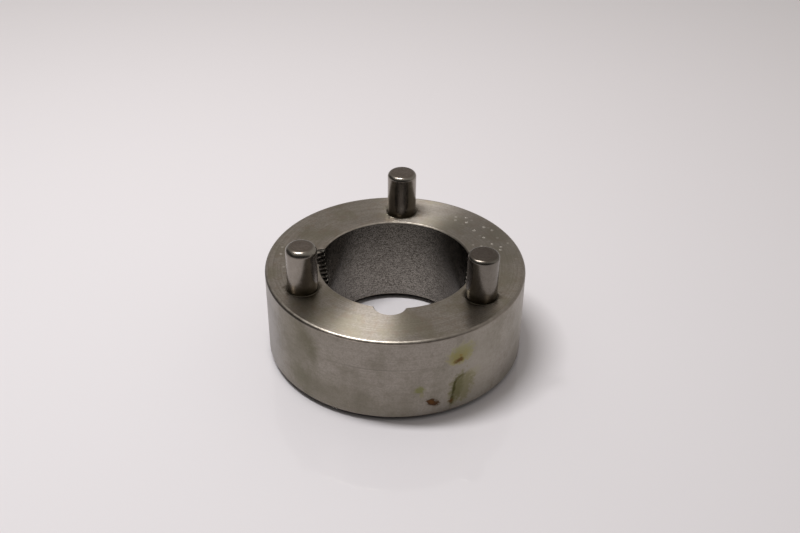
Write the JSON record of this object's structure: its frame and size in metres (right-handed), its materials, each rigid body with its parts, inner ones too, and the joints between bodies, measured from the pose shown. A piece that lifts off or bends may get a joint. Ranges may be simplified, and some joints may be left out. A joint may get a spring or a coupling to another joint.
{
  "type": "taper bush drive hub",
  "caption": "Steel hub ring with a tapered bore for a split bush, half-holes for the bush's screws, and round drive pins standing out of one face.",
  "frame": {"origin": "centre of the flat back face that the ring rests on, on the ring's axis", "axes": "+Z along the ring's axis, the way the drive pins point; -Y towards the plain half-hole; +Y towards the pin opposite it"},
  "size_m": [0.081, 0.081, 0.0444],
  "materials": {
    "ring_steel": "turned and ground, satin, lightly oiled and stained",
    "pin_steel": "hardened and ground, polished"
  },
  "bodies": {
    "root": {"hub_ring": "ring_steel", "drive_pin_back": "pin_steel", "drive_pin_left": "pin_steel", "drive_pin_right": "pin_steel"}
  },
  "joints": []
}
